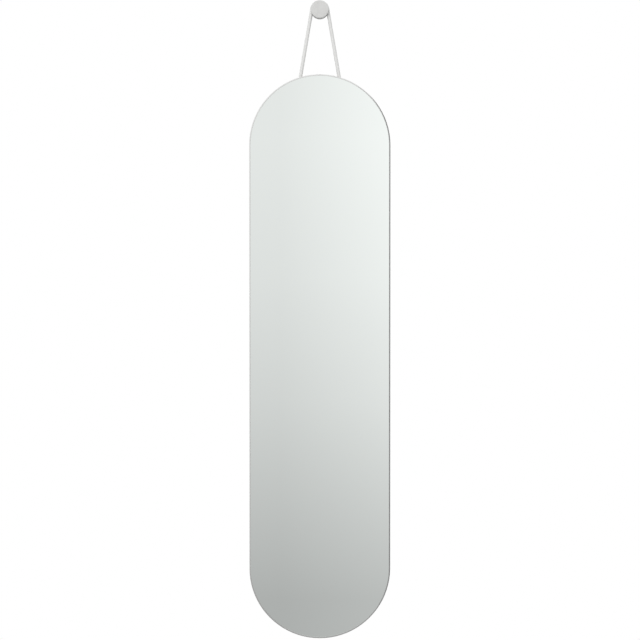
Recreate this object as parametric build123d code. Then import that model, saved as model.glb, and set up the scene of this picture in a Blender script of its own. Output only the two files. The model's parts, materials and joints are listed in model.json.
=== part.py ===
from build123d import *
import math
import os

# A pill-shaped wall mirror that hangs by a round cord from a turned knob. Sizes are in millimetres.
# The wall is the plane y = 0 and the knob's axis meets it at the origin. The object stands out
# towards -Y, so a depth here is a distance from the wall, and +Z is up.

# Mirror and its place below the knob's axis
mirror_width = 400
mirror_height = 1600
knob_to_mirror = 185.5
wall_gap = 20

# Rim: a C-shaped aluminium profile bent round the mirror, with one butt joint at the bottom
rim_wall = 2
rim_lip_thickness = 1.5
front_lip = 4
rear_lip = 10
rim_edge_radius = 3.2
joint_gap = 0.2

# Glass, tape and board, stacked between the rim's two lips
glass_thickness = 4
glass_arris = 0.6
tape_thickness = 1
board_thickness = 9
edge_clearance = 0.5
tape_width = 24
tape_strips = 3
tape_pitch = 110
tape_end_margin = 120

# Splice behind the butt joint, in a rebate of the board
splice_thickness = 2
splice_half_angle = 12
splice_clearance = 0.3
splice_screw_angles = (-7, 7)
splice_screw_shank = 1.5
splice_screw_head = 2.7
splice_screw_bite = 5

# Knob, turned, with a groove for the cord
knob_radius = 25
knob_depth = 26
knob_edge_radius = 1
groove_edge_chamfer = 0.5
wrap_radius = 22.5
cord_depth = 9
cord_clearance = 0.3

# Boss on the wall that the knob slides over, and what fastens both
boss_radius = 9
boss_length = 15
boss_chamfer = 1
boss_slip = 0.05
boss_end_gap = 0.5
boss_screw_shank = 2.5
boss_screw_head = 4.6
boss_screw_length = 58
boss_hole_clearance = 0.2
grub_radius = 2.5
grub_slip = 0.05
grub_recess = 1
grub_cone = 1.2
grub_key = 1.25
grub_key_depth = 3

# Wall plug
plug_radius = 5
plug_length = 50
plug_bore_slip = 0.05
plug_nose = 1.5
plug_slit_width = 1.6
plug_slit_start = 16
plug_groove_depth = 0.8
plug_groove_pitch = 6
plug_grooves = 5

# Cord and its ends
cord_radius = 5
cord_end_x = 60.5
cord_end_below_top = 37
cord_tail = 8
sleeve_radius = 7
sleeve_bore_slip = 0.1
sleeve_floor = 2
sleeve_top = 13
sleeve_bottom_chamfer = 1.6
sleeve_top_chamfer = 0.8
crimp_heights = (6.5, 9.5)
crimp_depth = 0.7
pin_radius = 3
pin_slip = 0.05
pin_overhang = 1.5
pin_chamfer = 0.5

# Hangers that hook over the cross pins
hanger_sheet = 2.5
ear_inside = 20
ear_above = 8
ear_below = 11
ear_rear = 6.5
ear_corner = 3
ear_bend = 3
pin_running = 0.2
strap_above = 11
strap_below = 52
strap_corner = 5
hanger_screw_drops = (23, 42)
hanger_screw_shank = 2
hanger_screw_head = 3.9
hanger_screw_bite = 7.5

# Rubber bumpers, with a washer and a screw inside each
bumper_base_radius = 12
bumper_tip_radius = 10
bumper_floor = 5
bumper_recess_radius = 6
bumper_tip_chamfer = 1
bumper_x = 110
bumper_top_inset = 160
bumper_bottom_inset = 130
washer_radius = 5.6
washer_thickness = 1.2
bumper_screw_shank = 2
bumper_screw_head = 4
bumper_screw_head_height = 2.5
bumper_screw_head_chamfer = 0.8
bumper_screw_bite = 7.5

# Screws
pilot_slip = 0.05
hole_slip = 0.25
drive_width = 0.9
drive_reach = 0.62
drive_depth = 1.1

# Worked out from the above
rim_depth = 2 * rim_lip_thickness + board_thickness + tape_thickness + glass_thickness
mirror_middle = -(knob_to_mirror + mirror_height / 2)
board_back = wall_gap + rim_lip_thickness
board_front = board_back + board_thickness
glass_back = board_front + tape_thickness
plate_inset = rim_wall + edge_clearance
lower_arc_middle = -(knob_to_mirror + mirror_height - mirror_width / 2)
cord_end_z = -(knob_to_mirror + cord_end_below_top)
reach_to_end = math.hypot(cord_end_x, cord_end_z)
strand_angle = math.atan2(cord_end_x, -cord_end_z) - math.asin(wrap_radius / reach_to_end)
groove_root_radius = wrap_radius - cord_radius - cord_clearance
hanger_back = board_back - hanger_sheet
hanger_width = ear_inside + 2 * hanger_sheet
pin_length = hanger_width + 2 * pin_overhang

CENTRE_LOW = (Align.CENTER, Align.CENTER, Align.MIN)


def facing_room(depth, x=0.0, z=0.0):
    """A plane parallel to the wall at this depth, whose normal points into the room."""
    return Plane(origin=(x, -depth, z), x_dir=(1, 0, 0), z_dir=(0, -1, 0))


def facing_wall(depth, x=0.0, z=0.0):
    """A plane parallel to the wall at this depth, whose normal points at the wall."""
    return Plane(origin=(x, -depth, z), x_dir=(1, 0, 0), z_dir=(0, 1, 0))


def pill(inset):
    """The mirror's outline, drawn in from the rim's outside by the inset."""
    return SlotOverall(mirror_height - 2 * inset, mirror_width - 2 * inset, rotation=90)


def pill_slab(inset, depth, thickness):
    return extrude(facing_room(depth, z=mirror_middle) * pill(inset), amount=thickness)


def drive_recess(head_radius):
    """The cross recess in a screw's head, centred on the head's top."""
    across = 2 * drive_reach * head_radius
    return Box(across, drive_width, 2 * drive_depth) + Box(drive_width, across, 2 * drive_depth)


def countersunk_screw(shank_radius, head_radius, length):
    """A screw that points along +Z, with the flat top of its head at z = 0."""
    head = Cone(head_radius, shank_radius, head_radius - shank_radius, align=CENTRE_LOW)
    return head + Cylinder(shank_radius, length, align=CENTRE_LOW) - drive_recess(head_radius)


def countersunk_hole(shank_radius, head_radius, depth, slip):
    """The hole for such a screw, whose countersink is the head's own cone, moved out by the slip."""
    wide = head_radius + slip
    narrow = shank_radius + slip
    return Cone(wide, narrow, wide - narrow, align=CENTRE_LOW) + Cylinder(narrow, depth, align=CENTRE_LOW)


def pan_screw(shank_radius, head_radius, head_height, length):
    """A screw that points along +Z, with the underside of its head at z = 0."""
    head = Pos(0, 0, -head_height) * Cylinder(head_radius, head_height, align=CENTRE_LOW)
    head = chamfer(head.edges().group_by(Axis.Z)[0], bumper_screw_head_chamfer)
    head -= Pos(0, 0, -head_height) * drive_recess(head_radius)
    return head + Cylinder(shank_radius, length, align=CENTRE_LOW)


def pilot(shank_radius, length):
    return Cylinder(shank_radius + pilot_slip, length + pilot_slip, align=CENTRE_LOW)


# Places of what repeats, as (x, z)
bumper_places = {
    "bumper_upper_left": (-bumper_x, -(knob_to_mirror + bumper_top_inset)),
    "bumper_upper_right": (bumper_x, -(knob_to_mirror + bumper_top_inset)),
    "bumper_lower_left": (-bumper_x, -(knob_to_mirror + mirror_height - bumper_bottom_inset)),
    "bumper_lower_right": (bumper_x, -(knob_to_mirror + mirror_height - bumper_bottom_inset)),
}
hanger_screw_places = [
    (side * cord_end_x, cord_end_z - drop) for side in (-1, 1) for drop in hanger_screw_drops
]
lip_middle_radius = mirror_width / 2 - (plate_inset + rear_lip) / 2
splice_screw_places = [
    (
        lip_middle_radius * math.sin(math.radians(angle)),
        lower_arc_middle - lip_middle_radius * math.cos(math.radians(angle)),
    )
    for angle in splice_screw_angles
]


def splice_sector(margin):
    """The splice's outline, a short band under the rear lip at the bottom, grown by the margin."""
    outer = mirror_width / 2 - plate_inset - splice_clearance + margin
    inner = mirror_width / 2 - rear_lip + splice_clearance - margin
    half = math.radians(splice_half_angle) + margin / lip_middle_radius

    def at(radius, angle):
        return (radius * math.sin(angle), -radius * math.cos(angle))

    edges = [
        ThreePointArc(at(outer, -half), at(outer, 0), at(outer, half)),
        Line(at(outer, half), at(inner, half)),
        ThreePointArc(at(inner, half), at(inner, 0), at(inner, -half)),
        Line(at(inner, -half), at(outer, -half)),
    ]
    return make_face(edges)


def make_rim():
    blank = pill_slab(0, wall_gap, rim_depth)
    blank = fillet(blank.faces().sort_by(Axis.Y)[0].edges(), rim_edge_radius)
    channel = pill_slab(rim_wall, board_back, rim_depth - 2 * rim_lip_thickness)
    rear_opening = pill_slab(rear_lip, wall_gap, rim_depth / 2)
    front_opening = pill_slab(front_lip, wall_gap + rim_depth / 2, rim_depth / 2)
    rim = blank - channel - rear_opening - front_opening
    bottom = Pos(0, -(wall_gap + rim_depth / 2), -(knob_to_mirror + mirror_height))
    rim -= bottom * Box(joint_gap, 2 * rim_depth, 4 * rear_lip)
    for x, z in splice_screw_places:
        hole = countersunk_hole(splice_screw_shank, splice_screw_head, 2 * rim_lip_thickness, pilot_slip)
        rim -= facing_room(wall_gap, x, z) * hole
    return rim


def make_glass():
    pane = pill_slab(plate_inset, glass_back, glass_thickness)
    faces = pane.faces().sort_by(Axis.Y)
    return chamfer(faces[0].edges() + faces[-1].edges(), glass_arris)


def make_tape():
    length = mirror_height - 2 * tape_end_margin
    strip = Rectangle(tape_width, length)
    first = -tape_pitch * (tape_strips - 1) / 2
    across = [first + n * tape_pitch for n in range(tape_strips)]
    places = [facing_room(board_front, x, mirror_middle) for x in across]
    return [extrude(place * strip, amount=tape_thickness) for place in places]


def make_board():
    board = pill_slab(plate_inset, board_back, board_thickness)
    rebate = facing_room(board_back, z=lower_arc_middle) * splice_sector(splice_clearance)
    board -= extrude(rebate, amount=splice_thickness)
    for x, z in hanger_screw_places:
        board -= facing_room(board_back, x, z) * pilot(hanger_screw_shank, hanger_screw_bite)
    for x, z in splice_screw_places:
        drilled = splice_thickness + splice_screw_bite
        board -= facing_room(board_back, x, z) * pilot(splice_screw_shank, drilled)
    for x, z in bumper_places.values():
        board -= facing_room(board_back, x, z) * pilot(bumper_screw_shank, bumper_screw_bite)
    return board


def make_splice():
    band = facing_room(board_back, z=lower_arc_middle) * splice_sector(0)
    splice = extrude(band, amount=splice_thickness)
    for x, z in splice_screw_places:
        splice -= facing_room(board_back, x, z) * pilot(splice_screw_shank, splice_thickness)
    return splice


def make_splice_screws():
    length = rim_lip_thickness + splice_thickness + splice_screw_bite
    screw = countersunk_screw(splice_screw_shank, splice_screw_head, length)
    return [facing_room(wall_gap, x, z) * screw for x, z in splice_screw_places]


def make_knob_body():
    """A turned spool: a back flange, a round-bottomed groove and a thick front disc."""
    groove_half = cord_radius + cord_clearance
    blank = Pos(knob_radius / 2, -knob_depth / 2) * Rectangle(knob_radius, knob_depth)
    groove_root = Pos(wrap_radius, -cord_depth) * Circle(groove_half)
    groove_mouth = Pos(wrap_radius, -cord_depth) * Rectangle(
        knob_radius, 2 * groove_half, align=(Align.MIN, Align.CENTER)
    )
    knob = revolve(blank - groove_root - groove_mouth, Axis.Y)
    rims = knob.edges().filter_by(GeomType.CIRCLE).group_by(SortBy.RADIUS)[-1].sort_by(Axis.Y)
    knob = chamfer(rims[1:-1], groove_edge_chamfer)
    knob = fillet(knob.faces().sort_by(Axis.Y)[0].edges(), knob_edge_radius)
    bore = Cylinder(boss_radius + boss_slip, boss_length + boss_end_gap, align=CENTRE_LOW)
    knob -= facing_room(0) * bore
    below = Plane(origin=(0, -cord_depth, 0), z_dir=(0, 0, -1))
    return knob - below * Cylinder(grub_radius, wrap_radius, align=CENTRE_LOW)


def make_boss():
    boss = facing_room(0) * Cylinder(boss_radius, boss_length, align=CENTRE_LOW)
    boss = chamfer(boss.edges().filter_by(GeomType.CIRCLE).sort_by(Axis.Y)[0], boss_chamfer)
    hole = countersunk_hole(boss_screw_shank, boss_screw_head, 2 * boss_length, boss_hole_clearance)
    return boss - facing_wall(boss_length) * hole


def make_boss_screw():
    return facing_wall(boss_length) * countersunk_screw(boss_screw_shank, boss_screw_head, boss_screw_length)


def make_grub_screw():
    """A set screw under the groove, whose cone point stands on the boss."""
    length = groove_root_radius - grub_recess - boss_radius
    screw = Cone(grub_radius / 2, grub_radius - grub_slip, grub_cone, align=CENTRE_LOW)
    screw += Pos(0, 0, grub_cone) * Cylinder(grub_radius - grub_slip, length - grub_cone, align=CENTRE_LOW)
    key = extrude(Pos(0, 0, length - grub_key_depth) * RegularPolygon(grub_key, 6), amount=grub_key_depth)
    below = Plane(origin=(0, -cord_depth, -boss_radius), z_dir=(0, 0, -1))
    return below * (screw - key)


def ring_cut(radius, height, depth):
    """A shallow V-shaped groove round a pin along Z."""
    side = depth * math.sqrt(2)
    return revolve(Plane.XZ * Pos(radius, height) * Rectangle(side, side, rotation=45), Axis.Z)


def make_plug():
    """A nylon plug, split over its far part so that the screw spreads it, with rings for grip."""
    plug = Cylinder(plug_radius, plug_length, align=CENTRE_LOW)
    plug = chamfer(plug.edges().filter_by(GeomType.CIRCLE).sort_by(Axis.Z)[-1], plug_nose)
    for n in range(plug_grooves):
        plug -= ring_cut(plug_radius, plug_slit_start + n * plug_groove_pitch, plug_groove_depth)
    plug -= Cylinder(boss_screw_shank + plug_bore_slip, plug_length, align=CENTRE_LOW)
    slit = Box(2 * plug_radius, plug_slit_width, plug_length, align=CENTRE_LOW)
    plug -= Pos(0, 0, plug_slit_start) * slit
    return facing_wall(0) * plug


def strand_direction(side):
    """Down the strand on one side, from the knob to the cord's end."""
    return Vector(side * math.sin(strand_angle), 0, -math.cos(strand_angle))


def pin_middle(side):
    return Vector(side * cord_end_x, -cord_depth, cord_end_z)


def cross_pin_shape(side, radius, length):
    return Plane(origin=pin_middle(side), z_dir=(1, 0, 0)) * Cylinder(radius, length)


def make_cord():
    """One cord, held taut: a straight strand, an arc over the knob and the other strand."""

    def leaves_knob(side):
        x = side * wrap_radius * math.cos(strand_angle)
        return Vector(x, -cord_depth, wrap_radius * math.sin(strand_angle))

    ends = {side: pin_middle(side) + strand_direction(side) * cord_tail for side in (-1, 1)}
    top = Vector(0, -cord_depth, wrap_radius)
    path = Wire(
        [
            Edge.make_line(ends[-1], leaves_knob(-1)),
            Edge.make_three_point_arc(leaves_knob(-1), top, leaves_knob(1)),
            Edge.make_line(leaves_knob(1), ends[1]),
        ]
    )
    section = Plane(origin=ends[-1], z_dir=-strand_direction(-1)) * Circle(cord_radius)
    cord = sweep(section, path=path)
    swept = math.pi * cord_radius**2 * path.length
    print(f"cord: {path.length:.1f} mm long, its one arc has radius {wrap_radius} mm")
    print(f"cord: volume {cord.volume:.0f} mm3, section times length {swept:.0f} mm3")
    for side in (-1, 1):
        cord -= cross_pin_shape(side, pin_radius + pin_slip, 4 * cord_radius)
    return cord


def make_cord_end(side):
    """A crimped sleeve on the cord's end, cross-bored for its pin."""
    bottom = cord_tail + sleeve_floor
    sleeve = Pos(0, 0, -bottom) * Cylinder(sleeve_radius, bottom + sleeve_top, align=CENTRE_LOW)
    sleeve = chamfer(sleeve.edges().group_by(Axis.Z)[0], sleeve_bottom_chamfer)
    sleeve = chamfer(sleeve.edges().group_by(Axis.Z)[-1], sleeve_top_chamfer)
    for height in crimp_heights:
        sleeve -= ring_cut(sleeve_radius, height, crimp_depth)
    bore = Cylinder(cord_radius + sleeve_bore_slip, cord_tail + 2 * sleeve_top, align=CENTRE_LOW)
    sleeve -= Pos(0, 0, -cord_tail) * bore
    sleeve = Plane(origin=pin_middle(side), z_dir=-strand_direction(side)) * sleeve
    return sleeve - cross_pin_shape(side, pin_radius + pin_slip, 4 * sleeve_radius)


def make_cross_pin(side):
    pin = cross_pin_shape(side, pin_radius, pin_length)
    return chamfer(pin.edges().filter_by(GeomType.CIRCLE), pin_chamfer)


def make_hanger(side):
    """A strap of sheet steel on the board, with two ears bent rearwards and slotted from below."""
    x, z = side * cord_end_x, cord_end_z
    ear_depth = board_back - cord_depth + ear_rear
    strap_length = strap_above + strap_below
    strap_middle = z + (strap_above - strap_below) / 2
    strap = RectangleRounded(hanger_width, strap_length, strap_corner)
    hanger = extrude(facing_room(hanger_back, x, strap_middle) * strap, amount=hanger_sheet)
    outside = Pos(0, ear_depth / 2) * Rectangle(hanger_width, ear_depth)
    outside = fillet(outside.vertices().group_by(Axis.Y)[0], ear_bend)
    inside = Pos(0, hanger_sheet) * Rectangle(ear_inside, ear_depth, align=(Align.CENTER, Align.MIN))
    base = Plane(origin=(x, -board_back, z - ear_below), x_dir=(1, 0, 0), z_dir=(0, 0, 1))
    ears = extrude(base * (outside - inside), amount=ear_below + ear_above)
    rear_corners = ears.edges().filter_by(Axis.X).group_by(Axis.Y)[-1]
    ears = fillet(rear_corners, ear_corner)
    slot_radius = pin_radius + pin_running
    slot = Pos(0, -ear_below / 2) * Rectangle(2 * slot_radius, ear_below) + Circle(slot_radius)
    across = Plane(origin=(x - hanger_width, -cord_depth, z), x_dir=(0, 1, 0), z_dir=(1, 0, 0))
    ears -= extrude(across * slot, amount=2 * hanger_width)
    hanger += ears
    for drop in hanger_screw_drops:
        hole = countersunk_hole(hanger_screw_shank, hanger_screw_head, 2 * hanger_sheet, pilot_slip)
        hanger -= facing_room(hanger_back, x, z - drop) * hole
    return hanger


def make_hanger_screws():
    screw = countersunk_screw(hanger_screw_shank, hanger_screw_head, hanger_sheet + hanger_screw_bite)
    return [facing_room(hanger_back, x, z) * screw for x, z in hanger_screw_places]


def make_bumper(x, z):
    bumper = Cone(bumper_base_radius, bumper_tip_radius, board_back, align=CENTRE_LOW)
    bumper -= Cylinder(bumper_screw_shank + hole_slip, board_back, align=CENTRE_LOW)
    bumper -= Pos(0, 0, bumper_floor) * Cylinder(bumper_recess_radius, board_back, align=CENTRE_LOW)
    tip_edges = bumper.faces().sort_by(Axis.Z)[-1].edges().sort_by(SortBy.LENGTH)
    bumper = chamfer(tip_edges[-1], bumper_tip_chamfer)
    return facing_wall(board_back, x, z) * bumper


def make_washers():
    washer = Cylinder(washer_radius, washer_thickness, align=CENTRE_LOW)
    washer -= Cylinder(bumper_screw_shank + hole_slip, washer_thickness, align=CENTRE_LOW)
    return [facing_wall(board_back - bumper_floor, x, z) * washer for x, z in bumper_places.values()]


def make_bumper_screws():
    head_seat = board_back - bumper_floor - washer_thickness
    length = bumper_floor + washer_thickness + bumper_screw_bite
    screw = pan_screw(bumper_screw_shank, bumper_screw_head, bumper_screw_head_height, length)
    return [facing_room(head_seat, x, z) * screw for x, z in bumper_places.values()]


nodes = {
    "knob_body": make_knob_body(),
    "knob_boss": make_boss(),
    "boss_screw": make_boss_screw(),
    "grub_screw": make_grub_screw(),
    "wall_plug": make_plug(),
    "hanging_cord": make_cord(),
    "cord_end_left": make_cord_end(-1),
    "cord_end_right": make_cord_end(1),
    "cross_pin_left": make_cross_pin(-1),
    "cross_pin_right": make_cross_pin(1),
    "rim": make_rim(),
    "rim_splice": make_splice(),
    "splice_screws": make_splice_screws(),
    "mirror_glass": make_glass(),
    "mounting_tape": make_tape(),
    "backing_board": make_board(),
    "hanger_left": make_hanger(-1),
    "hanger_right": make_hanger(1),
    "hanger_screws": make_hanger_screws(),
    "bumper_washers": make_washers(),
    "bumper_screws": make_bumper_screws(),
}
for name, (x, z) in bumper_places.items():
    nodes[name] = make_bumper(x, z)

os.makedirs("parts", exist_ok=True)
for name, shape in nodes.items():
    if isinstance(shape, list):
        shape = Compound(children=shape)
    export_step(shape, f"parts/{name}.step")
print(f"strands lean {math.degrees(strand_angle):.2f} degrees, {len(nodes)} nodes")
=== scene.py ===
import json
import math

import bpy
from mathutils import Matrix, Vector


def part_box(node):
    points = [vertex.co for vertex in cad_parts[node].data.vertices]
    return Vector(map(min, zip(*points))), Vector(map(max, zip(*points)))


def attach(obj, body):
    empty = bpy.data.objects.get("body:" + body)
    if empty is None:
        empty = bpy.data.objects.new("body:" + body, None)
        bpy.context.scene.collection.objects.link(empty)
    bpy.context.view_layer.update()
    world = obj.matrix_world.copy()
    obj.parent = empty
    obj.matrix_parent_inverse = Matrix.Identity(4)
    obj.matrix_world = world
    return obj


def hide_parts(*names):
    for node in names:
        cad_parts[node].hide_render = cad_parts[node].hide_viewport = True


# Pill-shaped wall mirror on a cord and a turned knob.
# Metres. The wall is the plane y = 0, the knob's axis meets it at the origin and the room is towards -Y.

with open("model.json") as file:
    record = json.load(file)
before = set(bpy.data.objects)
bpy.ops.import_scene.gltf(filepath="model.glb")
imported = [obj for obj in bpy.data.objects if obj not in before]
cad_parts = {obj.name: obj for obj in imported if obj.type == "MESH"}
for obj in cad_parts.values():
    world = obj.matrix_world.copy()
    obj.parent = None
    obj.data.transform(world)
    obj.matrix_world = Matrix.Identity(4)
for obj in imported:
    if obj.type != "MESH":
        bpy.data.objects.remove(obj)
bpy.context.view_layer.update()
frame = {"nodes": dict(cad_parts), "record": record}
nodes = frame["nodes"]
bpy.ops.object.select_all(action="DESELECT")
print("frame loaded with", len(nodes), "nodes")

rimLow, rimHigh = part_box("rim")
mirrorMiddle = (rimLow + rimHigh) / 2
straightHalf = (rimHigh.z - rimLow.z) / 2 - rimHigh.x  # half of the straight sides, between the round ends


# Small helpers for shader trees

def addNode(tree, kind, place, **settings):
    node = tree.nodes.new(kind)
    node.location = place
    for name, value in settings.items():
        setattr(node, name, value)
    return node


def plug(tree, value, socket):
    # a socket is linked, and a number or a colour is typed in
    if isinstance(value, bpy.types.NodeSocket):
        tree.links.new(value, socket)
    elif isinstance(value, tuple) and socket.type == "RGBA":
        socket.default_value = (*value, 1)
    else:
        socket.default_value = value


def addMath(tree, place, operation, first, second=0.5, clamp=False):
    node = addNode(tree, "ShaderNodeMath", place, operation=operation, use_clamp=clamp)
    plug(tree, first, node.inputs[0])
    plug(tree, second, node.inputs[1])
    return node.outputs[0]


def addNoise(tree, place, vector, scale, detail=2.0, roughness=0.5):
    node = addNode(tree, "ShaderNodeTexNoise", place)
    for name, value in (("Vector", vector), ("Scale", scale), ("Detail", detail), ("Roughness", roughness)):
        plug(tree, value, node.inputs[name])
    return node.outputs["Fac"]


def addRange(tree, place, value, fromLow, fromHigh, toLow=0.0, toHigh=1.0):
    node = addNode(tree, "ShaderNodeMapRange", place)
    names = ("Value", "From Min", "From Max", "To Min", "To Max")
    for name, number in zip(names, (value, fromLow, fromHigh, toLow, toHigh)):
        plug(tree, number, node.inputs[name])
    return node.outputs["Result"]


def addMix(tree, place, factor, first, second):
    node = addNode(tree, "ShaderNodeMix", place, data_type="RGBA")
    plug(tree, factor, node.inputs["Factor"])
    plug(tree, first, node.inputs[6])
    plug(tree, second, node.inputs[7])
    return node.outputs[2]


def multiplyColours(tree, place, first, second):
    node = addNode(tree, "ShaderNodeMix", place, data_type="RGBA", blend_type="MULTIPLY")
    plug(tree, 1.0, node.inputs["Factor"])
    plug(tree, first, node.inputs[6])
    plug(tree, second, node.inputs[7])
    return node.outputs[2]


def addRamp(tree, place, value, stops):
    node = addNode(tree, "ShaderNodeValToRGB", place)
    elements = node.color_ramp.elements
    while len(elements) < len(stops):
        elements.new(1.0)
    for element, (position, colour) in zip(elements, stops):
        element.position = position
        element.color = (*colour, 1)
    plug(tree, value, node.inputs["Fac"])
    return node.outputs["Color"]


def stretched(tree, place, vector, scale):
    node = addNode(tree, "ShaderNodeMapping", place)
    plug(tree, vector, node.inputs["Vector"])
    node.inputs["Scale"].default_value = scale
    return node.outputs["Vector"]


def objectCoords(tree, place=(-1300, 0)):
    return addNode(tree, "ShaderNodeTexCoord", place).outputs["Object"]


def newGroup(name, inputs, outputs):
    group = bpy.data.node_groups.new(name, "ShaderNodeTree")
    for label, kind, value in inputs:
        socket = group.interface.new_socket(label, in_out="INPUT", socket_type=kind)
        if value is not None:
            socket.default_value = value
    for label in outputs:
        group.interface.new_socket(label, in_out="OUTPUT", socket_type="NodeSocketFloat")
    start = addNode(group, "NodeGroupInput", (-1000, 0))
    end = addNode(group, "NodeGroupOutput", (800, 0))
    return group, start.outputs, end.inputs


def addGroup(tree, group, place, **values):
    node = addNode(tree, "ShaderNodeGroup", place, node_tree=group)
    for name, value in values.items():
        plug(tree, value, node.inputs[name])
    return node.outputs


def newMaterial(name, metallic, roughness):
    material = bpy.data.materials.new(name)
    material.use_nodes = True
    tree = material.node_tree
    shader = tree.nodes["Principled BSDF"]
    shader.inputs["Metallic"].default_value = metallic
    shader.inputs["Roughness"].default_value = roughness
    return material, tree, shader


def addBump(tree, shader, height, distance, strength=1.0):
    node = addNode(tree, "ShaderNodeBump", (-250, -350))
    node.inputs["Strength"].default_value = strength
    node.inputs["Distance"].default_value = distance
    plug(tree, height, node.inputs["Height"])
    tree.links.new(node.outputs["Normal"], shader.inputs["Normal"])


# Effects that several finishes share

def makeFineGrain():
    # the small unevenness of a moulded or sprayed skin, with a slow drift of tone
    group, given, wanted = newGroup(
        "fineGrain",
        [("Vector", "NodeSocketVector", None), ("Scale", "NodeSocketFloat", 900.0)],
        ["Height", "Tone"],
    )
    fine = addNoise(group, (-600, 150), given["Vector"], given["Scale"], 3.0, 0.55)
    finer = addMath(group, (-800, -50), "MULTIPLY", given["Scale"], 3.7)
    speck = addNoise(group, (-600, -50), given["Vector"], finer, 1.0)
    part = addMath(group, (-350, -50), "MULTIPLY", speck, 0.35)
    plug(group, addMath(group, (0, 100), "ADD", fine, part), wanted["Height"])
    slow = addMath(group, (-800, -250), "MULTIPLY", given["Scale"], 0.03)
    plug(group, addNoise(group, (-600, -250), given["Vector"], slow, 4.0, 0.6), wanted["Tone"])
    return group


def makeHandlingMarks():
    # hairline scratches and the faint patches that hands leave on metal
    group, given, wanted = newGroup(
        "handlingMarks",
        [("Vector", "NodeSocketVector", None), ("Scale", "NodeSocketFloat", 60.0)],
        ["Scratches", "Smudges"],
    )
    total = None
    for row, turn in enumerate((0.4, 1.7, 2.6)):
        spun = addNode(group, "ShaderNodeVectorRotate", (-800, -250 * row), rotation_type="Y_AXIS")
        plug(group, given["Vector"], spun.inputs["Vector"])
        spun.inputs["Angle"].default_value = turn
        drawn = stretched(group, (-600, -250 * row), spun.outputs["Vector"], (26.0, 26.0, 0.7))
        lines = addNoise(group, (-400, -250 * row), drawn, given["Scale"], 1.0)
        thin = addRange(group, (-200, -250 * row), lines, 0.69, 0.76)
        total = thin if total is None else addMath(group, (0, -250 * row), "MAXIMUM", total, thin)
    plug(group, total, wanted["Scratches"])
    patches = addNoise(group, (-400, 250), given["Vector"], given["Scale"], 3.0, 0.6)
    plug(group, addRange(group, (-200, 250), patches, 0.45, 0.75), wanted["Smudges"])
    return group


def makeDust():
    # dust that settles in soft patches with single grains in it
    group, given, wanted = newGroup(
        "settledDust",
        [("Vector", "NodeSocketVector", None), ("Scale", "NodeSocketFloat", 40.0)],
        ["Film", "Grains"],
    )
    film = addNoise(group, (-600, 150), given["Vector"], given["Scale"], 5.0, 0.65)
    plug(group, addRange(group, (-300, 150), film, 0.4, 0.8), wanted["Film"])
    small = addMath(group, (-800, -150), "MULTIPLY", given["Scale"], 45.0)
    grains = addNoise(group, (-600, -150), given["Vector"], small, 1.0)
    plug(group, addRange(group, (-300, -150), grains, 0.7, 0.78), wanted["Grains"])
    return group


fineGrain = makeFineGrain()
handlingMarks = makeHandlingMarks()
settledDust = makeDust()


# Finishes

def makeKnobPaint():
    look = {"colour": (0.645, 0.645, 0.635), "shade": (0.58, 0.58, 0.57), "grainPerMetre": 1100.0}
    material, tree, shader = newMaterial("knobPaint", 0.0, 0.5)
    coords = objectCoords(tree)
    grain = addGroup(tree, fineGrain, (-900, 100), Vector=coords, Scale=look["grainPerMetre"])
    tone = addRange(tree, (-600, 200), grain["Tone"], 0.3, 0.7)
    plug(tree, addMix(tree, (-300, 250), tone, look["shade"], look["colour"]), shader.inputs["Base Color"])
    plug(tree, addRange(tree, (-300, 0), grain["Height"], 0.4, 0.9, 0.42, 0.56), shader.inputs["Roughness"])
    addBump(tree, shader, grain["Height"], 0.0001, 0.7)
    return material


def makeCordSilicone():
    look = {"colour": (0.735, 0.735, 0.725), "shade": (0.68, 0.68, 0.67), "grainPerMetre": 2600.0}
    material, tree, shader = newMaterial("cordSilicone", 0.0, 0.5)
    coords = objectCoords(tree)
    grain = addGroup(tree, fineGrain, (-900, 100), Vector=coords, Scale=look["grainPerMetre"])
    dust = addGroup(tree, settledDust, (-900, -200), Vector=coords, Scale=55.0)
    tone = addRange(tree, (-600, 200), grain["Tone"], 0.3, 0.7)
    colour = addMix(tree, (-450, 250), tone, look["shade"], look["colour"])
    veil = addMath(tree, (-600, -100), "MULTIPLY", dust["Film"], 0.25)
    plug(tree, addMix(tree, (-250, 250), veil, colour, (0.78, 0.77, 0.75)), shader.inputs["Base Color"])
    plug(tree, addRange(tree, (-250, 0), dust["Film"], 0.0, 1.0, 0.46, 0.62), shader.inputs["Roughness"])
    addBump(tree, shader, grain["Height"], 0.00003, 0.5)
    return material


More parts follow.
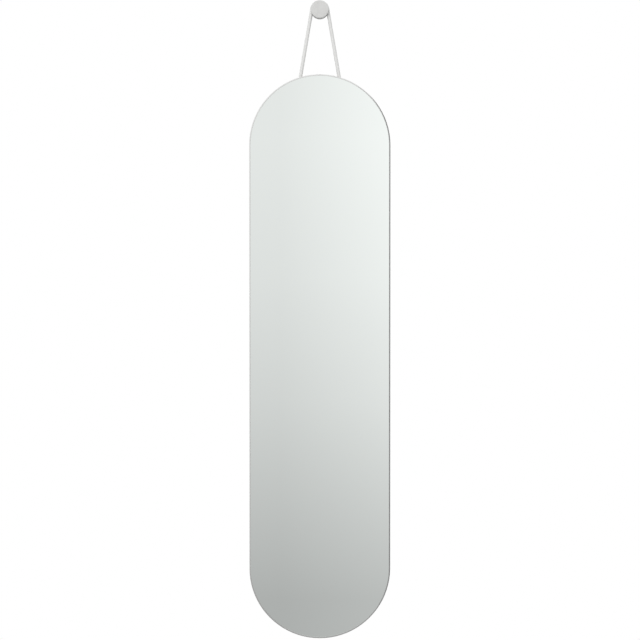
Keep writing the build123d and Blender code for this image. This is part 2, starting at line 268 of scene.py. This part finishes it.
def makeRimAluminium():
    look = {"colour": (0.79, 0.79, 0.785), "linesPerMetre": 2600.0, "roughness": 0.26}
    material, tree, shader = newMaterial("rimAluminium", 1.0, look["roughness"])
    # the brushing runs along the rim, so its pattern changes only across the rim's section
    coords = objectCoords(tree, (-1700, 0))
    split = addNode(tree, "ShaderNodeSeparateXYZ", (-1500, 0))
    tree.links.new(coords, split.inputs[0])
    fromMiddle = addMath(tree, (-1300, -150), "SUBTRACT", split.outputs["Z"], mirrorMiddle.z)
    height = addMath(tree, (-1300, -300), "ABSOLUTE", fromMiddle)
    beyond = addMath(tree, (-1100, -300), "SUBTRACT", height, straightHalf)
    onArc = addMath(tree, (-900, -300), "MAXIMUM", beyond, 0.0)
    point = addNode(tree, "ShaderNodeCombineXYZ", (-750, -200))
    plug(tree, split.outputs["X"], point.inputs["X"])
    plug(tree, onArc, point.inputs["Z"])
    across = addNode(tree, "ShaderNodeVectorMath", (-600, -200), operation="LENGTH")
    tree.links.new(point.outputs[0], across.inputs[0])
    along = addMath(tree, (-600, -400), "MULTIPLY", height, 0.004)
    section = addNode(tree, "ShaderNodeCombineXYZ", (-450, -200))
    plug(tree, across.outputs["Value"], section.inputs["X"])
    plug(tree, split.outputs["Y"], section.inputs["Y"])
    plug(tree, along, section.inputs["Z"])
    lines = addNoise(tree, (-450, 0), section.outputs[0], look["linesPerMetre"], 3.0, 0.6)
    marks = addGroup(tree, handlingMarks, (-450, 300), Vector=coords, Scale=14.0)
    tone = addRange(tree, (-200, 150), lines, 0.3, 0.7)
    colour = addMix(tree, (-50, 250), tone, (0.74, 0.74, 0.735), look["colour"])
    plug(tree, colour, shader.inputs["Base Color"])
    satin = addRange(tree, (-200, -50), lines, 0.3, 0.7, 0.20, 0.30)
    handled = addMath(tree, (-200, 400), "MULTIPLY", marks["Smudges"], 0.05)
    plug(tree, addMath(tree, (-50, 0), "ADD", satin, handled), shader.inputs["Roughness"])
    addBump(tree, shader, lines, 0.00002, 0.35)
    return material


def makeMirrorSilver():
    look = {"tint": (0.915, 0.951, 0.939), "clear": 0.008, "fingered": 0.022}
    material, tree, shader = newMaterial("mirrorSilver", 1.0, look["clear"])
    coords = objectCoords(tree)
    dust = addGroup(tree, settledDust, (-900, 0), Vector=coords, Scale=5.0)
    film = addMath(tree, (-600, 100), "MULTIPLY", dust["Film"], 0.05)
    plug(tree, addMix(tree, (-300, 200), film, look["tint"], (0.84, 0.87, 0.86)), shader.inputs["Base Color"])
    hazy = addRange(tree, (-300, 0), dust["Film"], 0.0, 1.0, look["clear"], look["fingered"])
    plug(tree, hazy, shader.inputs["Roughness"])
    return material


def makeBoardFibre():
    look = {"fibre": (0.43, 0.30, 0.185), "dark": (0.27, 0.175, 0.10), "pale": (0.56, 0.43, 0.29)}
    material, tree, shader = newMaterial("boardFibre", 0.0, 0.75)
    coords = objectCoords(tree)
    chips = addNoise(tree, (-900, 300), stretched(tree, (-1100, 300), coords, (1.0, 1.0, 0.55)), 950.0, 4.0, 0.7)
    clumps = addNoise(tree, (-900, 100), coords, 26.0, 5.0, 0.65)
    sanding = addNoise(tree, (-900, -100), stretched(tree, (-1100, -100), coords, (1.0, 1.0, 0.02)), 420.0, 2.0)
    darkBits = addRange(tree, (-650, 300), chips, 0.56, 0.7)
    paleBits = addRange(tree, (-650, 100), chips, 0.42, 0.3)
    blend = addMath(tree, (-650, -50), "MULTIPLY", darkBits, 0.75)
    colour = addMix(tree, (-450, 300), blend, look["fibre"], look["dark"])
    lighter = addMath(tree, (-450, 50), "MULTIPLY", paleBits, 0.6)
    colour = addMix(tree, (-250, 300), lighter, colour, look["pale"])
    patch = addRange(tree, (-450, -150), clumps, 0.35, 0.7, 0.0, 0.3)
    plug(tree, addMix(tree, (-50, 300), patch, colour, look["dark"]), shader.inputs["Base Color"])
    plug(tree, addRange(tree, (-250, 0), sanding, 0.3, 0.7, 0.66, 0.82), shader.inputs["Roughness"])
    addBump(tree, shader, addMath(tree, (-450, -350), "ADD", chips, sanding), 0.00012, 0.5)
    return material


def makeFoamTape():
    look = {"colour": (0.80, 0.80, 0.77), "poresPerMetre": 1400.0}
    material, tree, shader = newMaterial("foamTape", 0.0, 0.8)
    coords = objectCoords(tree)
    pores = addNode(tree, "ShaderNodeTexVoronoi", (-900, 0))
    plug(tree, coords, pores.inputs["Vector"])
    pores.inputs["Scale"].default_value = look["poresPerMetre"]
    # pore depth: it also sets roughness, and it drives the painted shade in the pores below
    poreShadeAndDepth = addRange(tree, (-600, 100), pores.outputs["Distance"], 0.1, 0.6)
    # painted shade: the colour goes darker towards each pore's middle, where the bump sinks the pore
    plug(tree, addMix(tree, (-300, 200), poreShadeAndDepth, (0.62, 0.62, 0.6), look["colour"]), shader.inputs["Base Color"])
    plug(tree, addRange(tree, (-300, 0), poreShadeAndDepth, 0.0, 1.0, 0.9, 0.75), shader.inputs["Roughness"])
    addBump(tree, shader, pores.outputs["Distance"], 0.0002, 0.6)
    return material


def makeMetal(name, look):
    # plated or ground steel: drifting tone, hairline scratches and the plating's fine crystals
    material, tree, shader = newMaterial(name, 1.0, look["roughness"])
    coords = objectCoords(tree)
    marks = addGroup(tree, handlingMarks, (-900, 200), Vector=coords, Scale=look["scratchScale"])
    grain = addGroup(tree, fineGrain, (-900, -100), Vector=coords, Scale=look["grainPerMetre"])
    tone = addRange(tree, (-650, 300), grain["Tone"], 0.3, 0.7)
    colour = addMix(tree, (-450, 300), tone, look["colour"], look["drift"])
    worn = addMath(tree, (-450, 100), "MULTIPLY", marks["Scratches"], look["scratches"])
    plug(tree, addMix(tree, (-200, 300), worn, colour, look["bare"]), shader.inputs["Base Color"])
    low, high = look["roughness"] - 0.07, look["roughness"] + 0.07
    satin = addRange(tree, (-450, -50), grain["Height"], 0.4, 0.95, low, high)
    handled = addMath(tree, (-450, -200), "MULTIPLY", marks["Smudges"], 0.1)
    plug(tree, addMath(tree, (-200, 0), "ADD", satin, handled), shader.inputs["Roughness"])
    relief = addMath(tree, (-450, -400), "SUBTRACT", grain["Height"], marks["Scratches"])
    addBump(tree, shader, relief, 0.00002, look["relief"])
    return material


def makeRubber():
    look = {"colour": (0.035, 0.035, 0.037), "dusty": (0.12, 0.115, 0.105), "grainPerMetre": 1800.0}
    material, tree, shader = newMaterial("bumperRubber", 0.0, 0.72)
    coords = objectCoords(tree)
    grain = addGroup(tree, fineGrain, (-900, 100), Vector=coords, Scale=look["grainPerMetre"])
    dust = addGroup(tree, settledDust, (-900, -200), Vector=coords, Scale=90.0)
    film = addMath(tree, (-600, -100), "MULTIPLY", dust["Film"], 0.3)
    grains = addMath(tree, (-600, -300), "MULTIPLY", dust["Grains"], 0.4)
    cover = addMath(tree, (-450, -200), "MAXIMUM", film, grains)
    plug(tree, addMix(tree, (-250, 200), cover, look["colour"], look["dusty"]), shader.inputs["Base Color"])
    plug(tree, addRange(tree, (-250, 0), dust["Film"], 0.0, 1.0, 0.64, 0.85), shader.inputs["Roughness"])
    addBump(tree, shader, grain["Height"], 0.00008, 0.6)
    return material


def makeNylon():
    look = {"colour": (0.47, 0.48, 0.49), "flow": (0.40, 0.41, 0.42), "grainPerMetre": 700.0}
    material, tree, shader = newMaterial("greyNylon", 0.0, 0.45)
    coords = objectCoords(tree)
    grain = addGroup(tree, fineGrain, (-900, 100), Vector=coords, Scale=look["grainPerMetre"])
    drawn = stretched(tree, (-1100, -200), coords, (1.0, 0.15, 1.0))  # the moulding flowed along the plug
    streaks = addNoise(tree, (-900, -200), drawn, 260.0, 3.0)
    flow = addRange(tree, (-600, 150), streaks, 0.35, 0.65)
    plug(tree, addMix(tree, (-300, 200), flow, look["flow"], look["colour"]), shader.inputs["Base Color"])
    plug(tree, addRange(tree, (-300, 0), grain["Height"], 0.4, 0.95, 0.36, 0.52), shader.inputs["Roughness"])
    addBump(tree, shader, grain["Height"], 0.00005, 0.5)
    return material


zincLook = {
    "colour": (0.66, 0.67, 0.69), "drift": (0.56, 0.585, 0.63), "bare": (0.78, 0.78, 0.79),
    "roughness": 0.34, "grainPerMetre": 1400.0, "scratchScale": 40.0, "scratches": 0.5, "relief": 0.4,
}
nickelLook = {
    "colour": (0.66, 0.645, 0.61), "drift": (0.60, 0.58, 0.54), "bare": (0.75, 0.74, 0.71),
    "roughness": 0.3, "grainPerMetre": 2400.0, "scratchScale": 60.0, "scratches": 0.4, "relief": 0.3,
}
pinLook = {
    "colour": (0.70, 0.70, 0.71), "drift": (0.62, 0.62, 0.64), "bare": (0.8, 0.8, 0.8),
    "roughness": 0.24, "grainPerMetre": 3000.0, "scratchScale": 90.0, "scratches": 0.6, "relief": 0.25,
}
oxideLook = {
    "colour": (0.045, 0.045, 0.05), "drift": (0.07, 0.068, 0.066), "bare": (0.3, 0.29, 0.28),
    "roughness": 0.42, "grainPerMetre": 2600.0, "scratchScale": 90.0, "scratches": 0.35, "relief": 0.4,
}

finishes = {
    "knob_paint": makeKnobPaint(),
    "cord_silicone": makeCordSilicone(),
    "rim_aluminium": makeRimAluminium(),
    "mirror_silver": makeMirrorSilver(),
    "board_fibre": makeBoardFibre(),
    "foam_tape": makeFoamTape(),
    "zinc_steel": makeMetal("zincSteel", zincLook),
    "nickel_zinc": makeMetal("nickelPlate", nickelLook),
    "pin_steel": makeMetal("groundSteel", pinLook),
    "black_steel": makeMetal("blackOxide", oxideLook),
    "grey_nylon": makeNylon(),
    "bumper_rubber": makeRubber(),
}

for part in frame["record"]["subparts"]:
    mesh = nodes[part["node"]].data
    mesh.materials.clear()
    mesh.materials.append(finishes[part["material_slot"]])
print("finishes made and given to the nodes:", len(finishes))


# Cord, pulled tight over the knob between its two sleeves

cordLook = {
    "diameter": 0.010,
    "length": 0.538,
    "middleY": -0.009,
    "sides": 7,  # bevel resolution
    "smoothness": 24,
    "route": [  # x and z of the route's points, from the left sleeve to the right one
        (-0.0618, -0.2304), (-0.0335, -0.0635), (-0.0235, -0.005), (-0.021, 0.012), (-0.008, 0.0225),
        (0.008, 0.0225), (0.021, 0.012), (0.0235, -0.005), (0.0335, -0.0635), (0.0618, -0.2304),
    ],
}


def makeCord():
    curve = bpy.data.curves.new("cord", "CURVE")
    curve.dimensions = "3D"
    curve.bevel_depth = cordLook["diameter"] / 2
    curve.bevel_resolution = cordLook["sides"]
    curve.resolution_u = cordLook["smoothness"]
    curve.use_fill_caps = True
    spline = curve.splines.new("NURBS")
    spline.points.add(len(cordLook["route"]) - 1)
    for point, (x, z) in zip(spline.points, cordLook["route"]):
        point.co = (x, cordLook["middleY"], z, 1)
    spline.order_u = 3
    spline.use_endpoint_u = True
    cord = bpy.data.objects.new("cord", curve)
    bpy.context.scene.collection.objects.link(cord)
    curve.materials.append(finishes["cord_silicone"])
    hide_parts("hanging_cord")
    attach(cord, "strap")
    return cord


makeCord()
print("cord laid over the knob")


# Floor, light and camera

floorLook = {"height": -2.02, "size": 4.0, "colour": (0.88, 0.88, 0.87), "fadeStart": 0.45, "fadeEnd": 1.0}
lampLook = {
    # name: place, size in metres, power in watts
    "keyUpperLeft": ((-1.2, -4.2, 1.5), 2.2, 95),
    "backSoft": ((1.9, 3.2, 0.7), 2.2, 55),
}
cameraLook = {"place": (0.0007, -4.643, -0.8089), "pitchDown": 0.89, "lens": 91.47, "sensor": 36.0}
roomLook = {
    # brightness of the soft light from straight down (0) to straight up (1); the horizon is 0.5
    "upDown": [(0.0, 0.42), (0.45, 0.6), (0.6, 0.88), (1.0, 0.64)],
}
cardLook = {
    # cards that only shiny surfaces see: a wall with a dark opening on its right, a floor, and a dark flag
    "wallPlace": (0.0, -6.0, -1.5), "wallSize": (16.0, 9.0),
    "wallLow": -6.0, "wallHigh": 3.0,
    "wallUpDown": [(0.0, 0.42), (0.356, 0.465), (0.5, 0.70), (0.589, 0.80), (0.69, 0.86), (1.0, 0.86)],
    "wallFarLeft": -8.0, "wallFarRight": 8.0,
    "wallLeftRight": [
        (0.0, 1.0), (0.485, 0.98), (0.528, 1.14), (0.56, 1.05), (0.585, 0.2), (0.77, 0.2), (0.8, 1.0),
    ],
    "wallTint": (1.0, 1.0, 0.99),
    "floorPlace": (0.0, -1.5, -3.05), "floorSize": (16.0, 9.0), "floorLevel": 0.42,
    "flagPlace": (1.5, 0.65, -1.0), "flagSize": (3.7, 4.4), "flagLevel": 0.18,
}


def makeFloor():
    bpy.ops.mesh.primitive_plane_add(size=floorLook["size"], location=(0, 0, floorLook["height"]))
    floor = bpy.context.object
    floor.name = "floor"
    material, tree, shader = newMaterial("paleFloor", 0.0, 0.8)
    coords = objectCoords(tree)
    distance = addNode(tree, "ShaderNodeVectorMath", (-900, -100), operation="LENGTH")
    tree.links.new(coords, distance.inputs[0])
    fade = addRange(
        tree, (-600, -100), distance.outputs["Value"], floorLook["fadeStart"], floorLook["fadeEnd"]
    )
    shader.inputs["Base Color"].default_value = (*floorLook["colour"], 1)
    # glossy rays pass, so that the mirror shows the room's even light and not the floor's edge
    rays = addNode(tree, "ShaderNodeLightPath", (-900, -400))
    hidden = addMath(tree, (-300, -200), "MAXIMUM", fade, rays.outputs["Is Glossy Ray"])
    clear = addNode(tree, "ShaderNodeBsdfTransparent", (0, -300))
    mixer = addNode(tree, "ShaderNodeMixShader", (300, 0))
    output = tree.nodes["Material Output"]
    plug(tree, hidden, mixer.inputs[0])
    tree.links.new(shader.outputs[0], mixer.inputs[1])
    tree.links.new(clear.outputs[0], mixer.inputs[2])
    tree.links.new(mixer.outputs[0], output.inputs["Surface"])
    floor.data.materials.append(material)


def greys(stops):
    return [(position, (level, level, level)) for position, level in stops]


def makeRoomLight():
    # soft light from all round; camera, shiny and clear surfaces see the plain white background
    world = bpy.data.worlds.new("studio")
    bpy.context.scene.world = world
    world.use_nodes = True
    tree = world.node_tree
    split = addNode(tree, "ShaderNodeSeparateXYZ", (-1200, 0))
    tree.links.new(addNode(tree, "ShaderNodeTexCoord", (-1400, 0)).outputs["Generated"], split.inputs[0])
    height = addRange(tree, (-1000, 0), split.outputs["Z"], -1.0, 1.0)
    background = tree.nodes["Background"]
    tree.links.new(addRamp(tree, (-800, 0), height, greys(roomLook["upDown"])), background.inputs["Color"])
    rays = addNode(tree, "ShaderNodeLightPath", (-800, 500))
    shown = addMath(tree, (-500, 500), "MAXIMUM", rays.outputs["Is Camera Ray"], rays.outputs["Is Glossy Ray"])
    shown = addMath(tree, (-300, 500), "MAXIMUM", shown, rays.outputs["Is Transmission Ray"])
    white = addNode(tree, "ShaderNodeBackground", (0, -200))
    plug(tree, (1.0, 1.0, 1.0), white.inputs["Color"])
    mixer = addNode(tree, "ShaderNodeMixShader", (350, 0))
    plug(tree, shown, mixer.inputs[0])
    tree.links.new(background.outputs[0], mixer.inputs[1])
    tree.links.new(white.outputs[0], mixer.inputs[2])
    tree.links.new(mixer.outputs[0], tree.nodes["World Output"].inputs["Surface"])


def makeCard(name, middle, size, turn):
    bpy.ops.object.select_all(action="DESELECT")
    bpy.ops.mesh.primitive_plane_add(size=1, location=middle, rotation=turn)
    card = bpy.context.object
    card.name = name
    card.scale = (*size, 1)
    bpy.ops.object.transform_apply(location=True, rotation=True, scale=True)
    for ray in ("camera", "diffuse", "transmission", "shadow"):
        setattr(card, "visible_" + ray, False)
    material = bpy.data.materials.new(name)
    material.use_nodes = True
    tree = material.node_tree
    tree.nodes.remove(tree.nodes["Principled BSDF"])
    glow = addNode(tree, "ShaderNodeEmission", (0, 0))
    tree.links.new(glow.outputs[0], tree.nodes["Material Output"].inputs["Surface"])
    card.data.materials.append(material)
    return tree, glow


def makeCards():
    upright = math.radians(90)
    tree, glow = makeCard("wallCard", cardLook["wallPlace"], cardLook["wallSize"], (upright, 0, 0))
    split = addNode(tree, "ShaderNodeSeparateXYZ", (-1100, 0))
    tree.links.new(objectCoords(tree), split.inputs[0])
    height = addRange(tree, (-900, 100), split.outputs["Z"], cardLook["wallLow"], cardLook["wallHigh"])
    across = addRange(tree, (-900, -200), split.outputs["X"], cardLook["wallFarLeft"], cardLook["wallFarRight"])
    vertical = addRamp(tree, (-700, 100), height, greys(cardLook["wallUpDown"]))
    sideways = addRamp(tree, (-700, -200), across, greys(cardLook["wallLeftRight"]))
    level = multiplyColours(tree, (-400, 0), vertical, sideways)
    tree.links.new(multiplyColours(tree, (-200, 0), level, cardLook["wallTint"]), glow.inputs["Color"])
    tree, glow = makeCard("floorCard", cardLook["floorPlace"], cardLook["floorSize"], (0, 0, 0))
    plug(tree, (cardLook["floorLevel"],) * 3, glow.inputs["Color"])
    tree, glow = makeCard("darkFlag", cardLook["flagPlace"], cardLook["flagSize"], (upright, 0, upright))
    plug(tree, (cardLook["flagLevel"],) * 3, glow.inputs["Color"])


def makeLamps():
    for name, (place, size, power) in lampLook.items():
        bpy.ops.object.light_add(type="AREA", location=place)
        lamp = bpy.context.object
        lamp.name = name
        lamp.data.size = size
        lamp.data.energy = power
        lamp.visible_glossy = False  # shiny surfaces show the room and not the lamps
        aim = Vector((0, 0, mirrorMiddle.z * 0.6)) - Vector(place)
        lamp.rotation_euler = aim.to_track_quat("-Z", "Y").to_euler()


def makeCamera():
    level = math.radians(90 - cameraLook["pitchDown"])
    bpy.ops.object.camera_add(location=cameraLook["place"], rotation=(level, 0, 0))
    camera = bpy.context.object
    camera.data.lens = cameraLook["lens"]
    camera.data.sensor_width = cameraLook["sensor"]
    bpy.context.scene.camera = camera


makeFloor()
makeRoomLight()
makeCards()
makeLamps()
makeCamera()
bpy.context.scene.view_settings.view_transform = "Standard"
print("floor, light and camera set")
